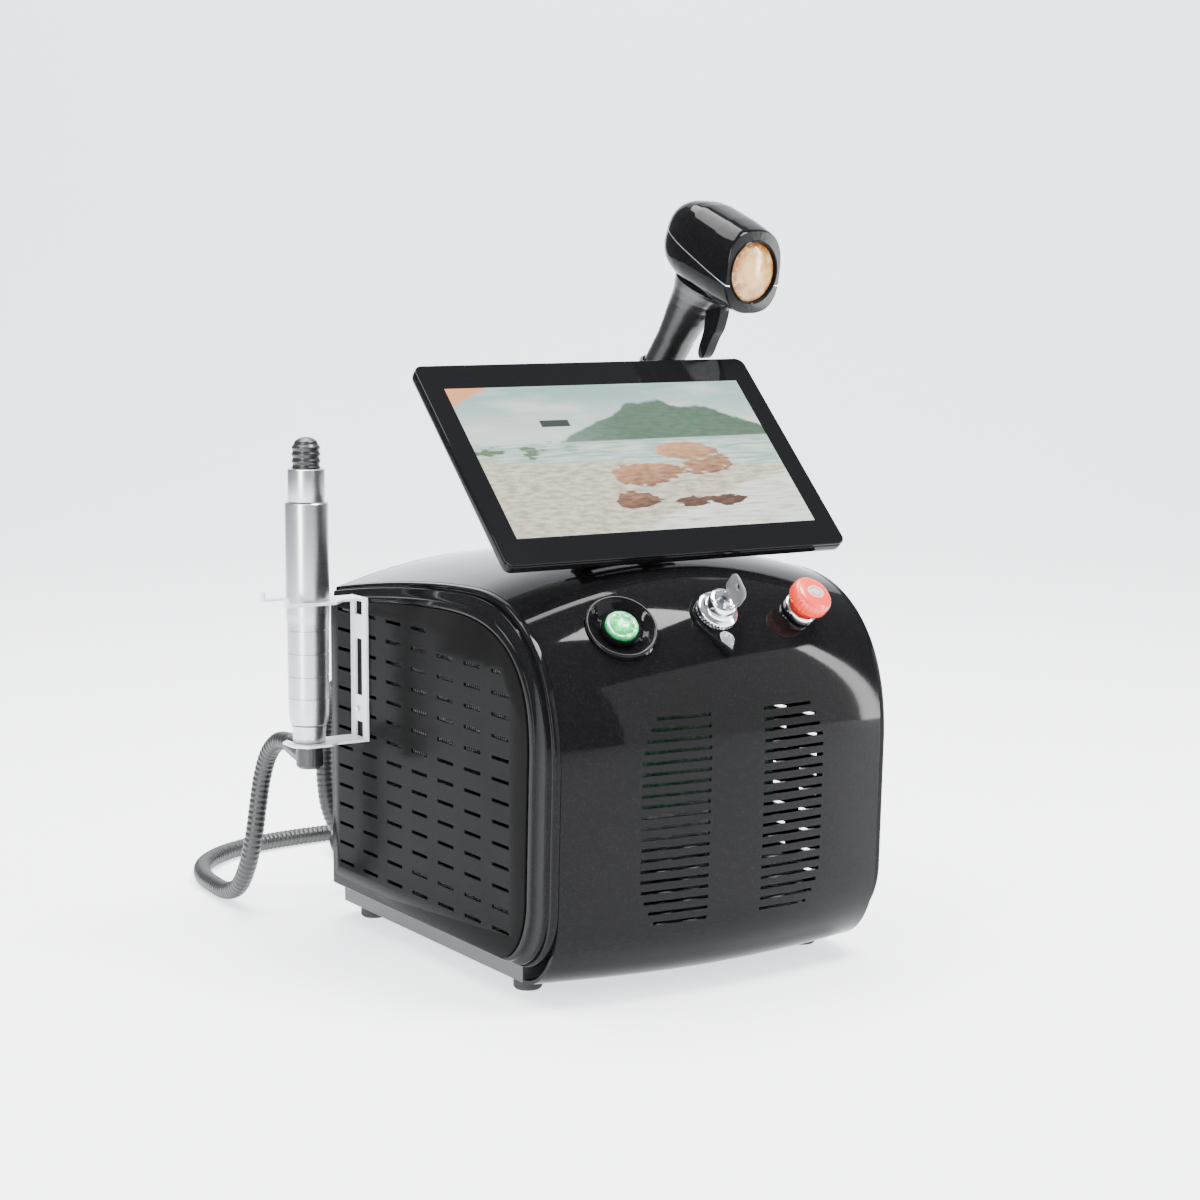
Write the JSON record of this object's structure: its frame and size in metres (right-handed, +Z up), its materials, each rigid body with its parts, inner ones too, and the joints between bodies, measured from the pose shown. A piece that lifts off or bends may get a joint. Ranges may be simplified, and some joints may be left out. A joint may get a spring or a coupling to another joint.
{
  "type": "light treatment console",
  "caption": "Desktop treatment console with slotted black cabinet, tilting touch screen, key and stop switches, a tube handpiece in a side bracket and a gun handpiece in a cradle.",
  "frame": {"origin": "middle of the footprint of everything but the hose, on the surface the feet stand on", "axes": "+Z up, the front faces -Y, +X to the operator's right"},
  "size_m": [0.4428, 0.6849, 0.6412],
  "materials": {
    "gloss_black": "polished black lacquer",
    "matt_black": "fine-grained black plastic",
    "dark_steel": "dark grey powder coat",
    "green_lens": "lit green lens",
    "red_plastic": "moulded red plastic",
    "chrome": "polished plating",
    "anodised_silver": "satin anodised",
    "white_powder_coat": "white powder coat",
    "rubber": "matt black rubber",
    "amber_window": "lit amber window",
    "screen_glass": "bonded cover glass over the display",
    "circuit_board": "solder-masked board",
    "tank_plastic": "translucent moulded plastic"
  },
  "bodies": {
    "cabinet": {"base_tray": "dark_steel", "bracket_screw": "chrome", "control_board": "circuit_board", "driver_module": "dark_steel", "filler_neck": "matt_black", "foot_front_left": "rubber", "foot_front_right": "rubber", "foot_rear_left": "rubber", "foot_rear_right": "rubber", "front_shell": "gloss_black", "gun_cradle_cup": "matt_black", "gun_cradle_post": "dark_steel", "hinge_pin": "chrome", "hose_coil": "rubber", "hose_gland": "matt_black", "hose_gland_leg": "rubber", "key_switch_barrel": "chrome", "key_switch_plate": "gloss_black", "left_fan_frame": "matt_black", "left_side_frame": "gloss_black", "left_side_panel": "gloss_black", "power_inlet": "matt_black", "power_supply": "dark_steel", "radiator": "anodised_silver", "rear_panel": "dark_steel", "right_fan_frame": "matt_black", "right_side_frame": "gloss_black", "right_side_panel": "gloss_black", "screen_post": "dark_steel", "start_button_dish": "gloss_black", "stop_switch_collar": "chrome", "wand_bracket": "white_powder_coat", "water_pump": "matt_black", "water_tank": "tank_plastic"},
    "screen": {"screen_glass": "screen_glass", "screen_back_cover": "matt_black", "display_module": "matt_black", "screen_bracket": "dark_steel"},
    "start_button": {"start_button": "green_lens"},
    "key": {"key": "chrome"},
    "stop_button": {"stop_button": "red_plastic"},
    "wand": {"wand_tail": "anodised_silver", "wand_body": "anodised_silver", "wand_nose": "anodised_silver", "wand_tip": "rubber", "wand_hose_elbow": "rubber", "hose_wand_leg": "rubber"},
    "gun": {"gun_upper_shell": "gloss_black", "gun_seam_trim": "chrome", "gun_lower_shell": "gloss_black", "gun_handle_trim": "chrome", "gun_handle": "gloss_black", "gun_window": "amber_window", "gun_trigger_pin": "chrome", "gun_hose_inlet": "matt_black"},
    "trigger": {"gun_trigger": "gloss_black"},
    "left_fan": {"left_fan_rotor": "matt_black"},
    "right_fan": {"right_fan_rotor": "matt_black"},
    "rocker": {"power_switch_rocker": "red_plastic"},
    "filler_cap": {"filler_cap": "matt_black"}
  },
  "joints": [
    {"name": "screen_tilt", "type": "hinge", "parent": "cabinet", "child": "screen", "pos_m": [0.03055, -0.02256, 0.40011], "axis": [1, 0, 0], "range_deg": [-30, 0]},
    {"name": "start_button_press", "type": "slide", "parent": "cabinet", "child": "start_button", "axis": [0.1434, 0.7153, -0.6839], "range_m": [0, 0.003], "stiffness_N_per_m": 900, "springref_m": -0.0005},
    {"name": "key_turn", "type": "hinge", "parent": "cabinet", "child": "key", "pos_m": [0.03055, -0.17054, 0.30489], "axis": [0, -0.7284, 0.6851], "range_deg": [-90, 0]},
    {"name": "stop_press", "type": "slide", "parent": "cabinet", "child": "stop_button", "axis": [-0.1434, 0.7153, -0.6839], "range_m": [0, 0.004], "stiffness_N_per_m": 1500, "springref_m": -0.0005},
    {"name": "wand_lift", "type": "slide", "parent": "cabinet", "child": "wand", "axis": [0, 0, 1], "range_m": [0, 0.1]},
    {"name": "gun_lift", "type": "slide", "parent": "cabinet", "child": "gun", "axis": [0.0919, -0.5805, 0.809], "range_m": [0, 0.06]},
    {"name": "trigger_squeeze", "type": "hinge", "parent": "gun", "child": "trigger", "pos_m": [0.18303, 0.04733, 0.5479], "axis": [0.9877, 0.1564, 0], "range_deg": [0, 7], "stiffness_Nm_per_rad": 0.6, "springref_deg": -2.86},
    {"name": "left_fan_spin", "type": "hinge", "parent": "cabinet", "child": "left_fan", "pos_m": [-0.03744, 0.17755, 0.205], "axis": [0, 1, 0], "continuous": true},
    {"name": "right_fan_spin", "type": "hinge", "parent": "cabinet", "child": "right_fan", "pos_m": [0.09856, 0.17755, 0.205], "axis": [0, 1, 0], "continuous": true},
    {"name": "rocker_tip", "type": "hinge", "parent": "cabinet", "child": "rocker", "pos_m": [0.00656, 0.19385, 0.085], "axis": [1, 0, 0], "range_deg": [0, 10]},
    {"name": "filler_cap_turn", "type": "hinge", "parent": "cabinet", "child": "filler_cap", "pos_m": [0.12555, 0.19635, 0.095], "axis": [0, 1, 0], "range_deg": [0, 90]}
  ]
}
